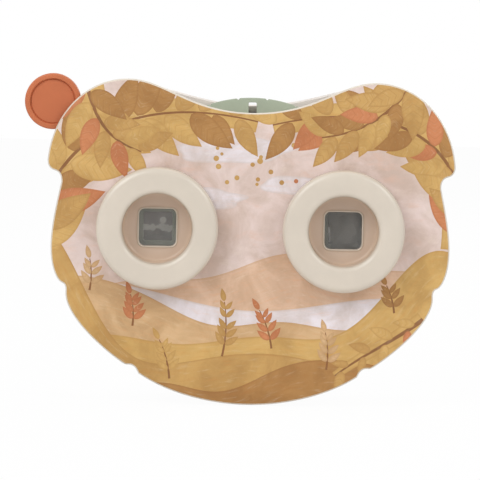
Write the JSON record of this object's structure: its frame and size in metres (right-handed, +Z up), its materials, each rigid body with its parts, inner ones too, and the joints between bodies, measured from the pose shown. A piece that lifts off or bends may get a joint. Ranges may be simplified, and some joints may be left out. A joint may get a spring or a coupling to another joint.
{
  "type": "toy stereo viewer",
  "caption": "Child's stereo reel viewer: animal-head fascia with light rings on a moulded case, picture reel in a top slot, advance lever at the side and eyecups behind.",
  "frame": {"origin": "on the flat under the chin, midway between the two viewing axes", "axes": "+X to the right as seen from the front, -Y out of the front where light comes in, +Z up"},
  "size_m": [0.1487, 0.0745, 0.1133],
  "materials": {
    "printed_face": "satin printed plastic",
    "cream_plastic": "fine satin moulding",
    "terracotta_plastic": "satin moulding",
    "sage_plastic": "satin moulding",
    "film": "colour film",
    "clear_plastic": "clear moulded plastic",
    "steel": "bright steel"
  },
  "bodies": {
    "housing": {"front_fascia": "printed_face", "front_shell": "cream_plastic", "rear_shell": "cream_plastic", "left_eye_ring": "cream_plastic", "right_eye_ring": "cream_plastic", "left_window_pane": "clear_plastic", "right_window_pane": "clear_plastic", "left_lens": "clear_plastic", "right_lens": "clear_plastic", "left_lens_retainer": "cream_plastic", "right_lens_retainer": "cream_plastic", "left_eyecup": "cream_plastic", "right_eyecup": "cream_plastic", "film_gate": "cream_plastic", "lever_return_spring": "steel", "lever_pivot_screw": "steel", "gate_screw_1": "steel", "gate_screw_2": "steel", "gate_screw_3": "steel", "gate_screw_4": "steel", "case_screw_1": "steel", "case_screw_2": "steel", "case_screw_3": "steel", "case_screw_4": "steel", "case_screw_5": "steel"},
    "lever": {"advance_lever": "terracotta_plastic", "pawl_pin": "steel"},
    "pawl": {"advance_pawl": "steel"},
    "hub": {"reel_hub": "steel"},
    "reel": {"reel_front_disc": "sage_plastic", "film_ring": "film", "reel_back_disc": "sage_plastic"}
  },
  "joints": [
    {"name": "lever_swing", "type": "hinge", "parent": "housing", "child": "lever", "pos_m": [0, -0.01315, 0.061], "axis": [0, -1, 0], "range_deg": [0, 25.71], "stiffness_Nm_per_rad": 0.18, "springref_deg": -25.78, "deforming": ["lever_return_spring"]},
    {"name": "pawl_tip", "type": "hinge", "parent": "lever", "child": "pawl", "pos_m": [-0.04136, -0.011, 0.09398], "axis": [0.6235, 0, 0.7818], "range_deg": [0, 6.5]},
    {"name": "reel_lift", "type": "slide", "parent": "housing", "child": "hub", "axis": [0, 0, 1], "range_m": [0, 0.1]},
    {"name": "reel_spin", "type": "hinge", "parent": "hub", "child": "reel", "pos_m": [0, -0.00815, 0.061], "axis": [0, -1, 0], "range_deg": [0, 25.71]}
  ],
  "couplings": [
    {"joint": "pawl_tip", "follows": "lever_swing", "ratio": 0.25},
    {"joint": "reel_spin", "follows": "lever_swing", "ratio": 1}
  ]
}
